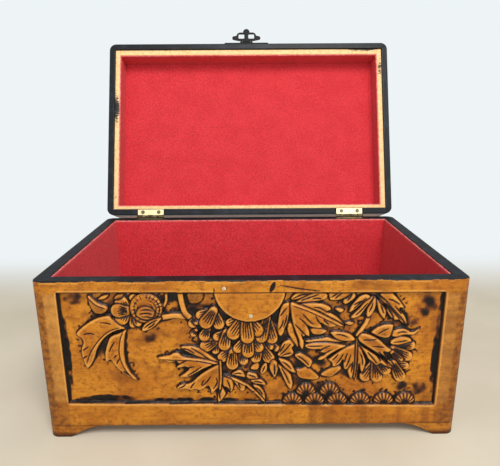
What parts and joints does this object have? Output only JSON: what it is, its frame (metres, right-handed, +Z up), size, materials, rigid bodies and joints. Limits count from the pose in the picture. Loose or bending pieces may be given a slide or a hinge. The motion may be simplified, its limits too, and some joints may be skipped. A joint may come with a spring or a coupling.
{
  "type": "jewelry box",
  "caption": "Wooden jewelry box with carved panels, corner feet, red felt lining, a lid on brass stop hinges and a small black swing latch.",
  "frame": {"origin": "on the floor, at the centre of the body's footprint", "axes": "+X to the box's right seen from the front, +Y to the back, where the hinges are, +Z up; the rest position is the lid fully open on its stops"},
  "size_m": [0.283, 0.267, 0.2968],
  "materials": {
    "carved_wood": "satin varnish, darkened in the carving",
    "bare_wood": "bare, lightly worn",
    "red_felt": "short felt",
    "hinge_brass": "worn",
    "black_iron": "satin black"
  },
  "bodies": {
    "box": {"front_board": "carved_wood", "back_board": "carved_wood", "left_board": "carved_wood", "right_board": "carved_wood", "bottom_board": "carved_wood", "foot_front_left": "carved_wood", "foot_front_right": "carved_wood", "foot_back_left": "carved_wood", "foot_back_right": "carved_wood", "lining_front": "red_felt", "lining_back": "red_felt", "lining_left": "red_felt", "lining_right": "red_felt", "lining_floor": "red_felt", "catch_nails": "black_iron", "hinge_body_leaf_left": "hinge_brass", "hinge_body_leaf_right": "hinge_brass", "hinge_pin_left": "hinge_brass", "hinge_pin_right": "hinge_brass", "hinge_body_screws": "hinge_brass"},
    "lid": {"lid_top_board": "carved_wood", "lid_front_rail": "carved_wood", "lid_back_rail": "carved_wood", "lid_left_rail": "carved_wood", "lid_right_rail": "carved_wood", "lid_liner_front": "bare_wood", "lid_liner_back": "bare_wood", "lid_liner_left": "bare_wood", "lid_liner_right": "bare_wood", "lid_lining_top": "red_felt", "lid_felt_front": "red_felt", "lid_felt_back": "red_felt", "lid_felt_left": "red_felt", "lid_felt_right": "red_felt", "hinge_lid_leaf_left": "hinge_brass", "hinge_lid_leaf_right": "hinge_brass", "hinge_lid_screws": "hinge_brass", "latch_plate": "black_iron", "latch_pin": "black_iron", "latch_plate_nails": "black_iron"},
    "hasp": {"latch_hasp": "black_iron"}
  },
  "joints": [
    {"name": "lid_hinge", "type": "hinge", "parent": "box", "child": "lid", "pos_m": [0, 0.08965, 0.1147], "axis": [1, 0, 0], "range_deg": [0, 109.4]},
    {"name": "latch_swing", "type": "hinge", "parent": "lid", "child": "hasp", "pos_m": [-0.0026, 0.15375, 0.28317], "axis": [1, 0, 0], "range_deg": [0, 90]}
  ]
}
